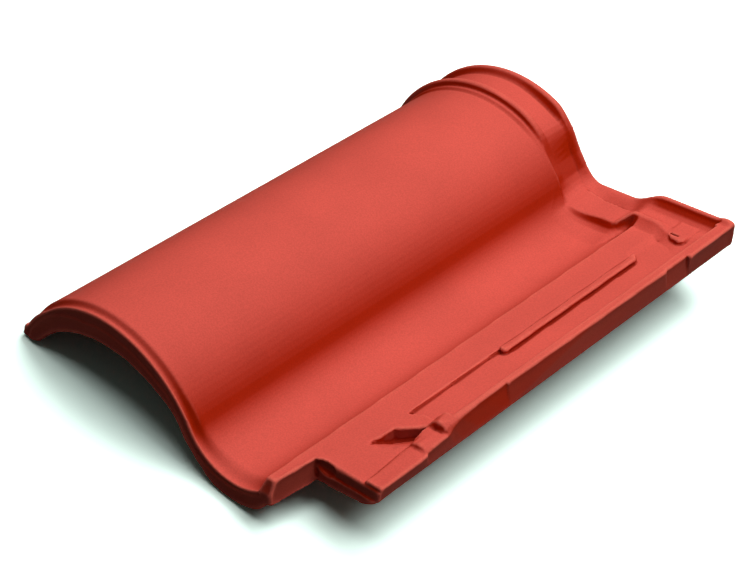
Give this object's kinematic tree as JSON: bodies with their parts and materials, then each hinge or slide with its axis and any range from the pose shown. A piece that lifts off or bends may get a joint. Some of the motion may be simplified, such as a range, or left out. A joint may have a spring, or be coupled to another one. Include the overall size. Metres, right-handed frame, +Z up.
{
  "type": "clay roof tile",
  "caption": "Pressed clay roof tile with a covering roll, a hollow pan and an interlocking edge with a raised rim, ridged head and batten nib.",
  "frame": {"origin": "centre of the bounding box at floor level, with the tile resting unheld on its lip, its nose and its batten nib", "axes": "+Z up; +Y from the nose to the head, the way up the slope; +X from the covering roll to the interlocking edge"},
  "size_m": [0.2918, 0.431, 0.086],
  "materials": {
    "fired_clay": "matte fired clay, unglazed"
  },
  "bodies": {
    "root": {"roof_tile": "fired_clay"}
  },
  "joints": []
}
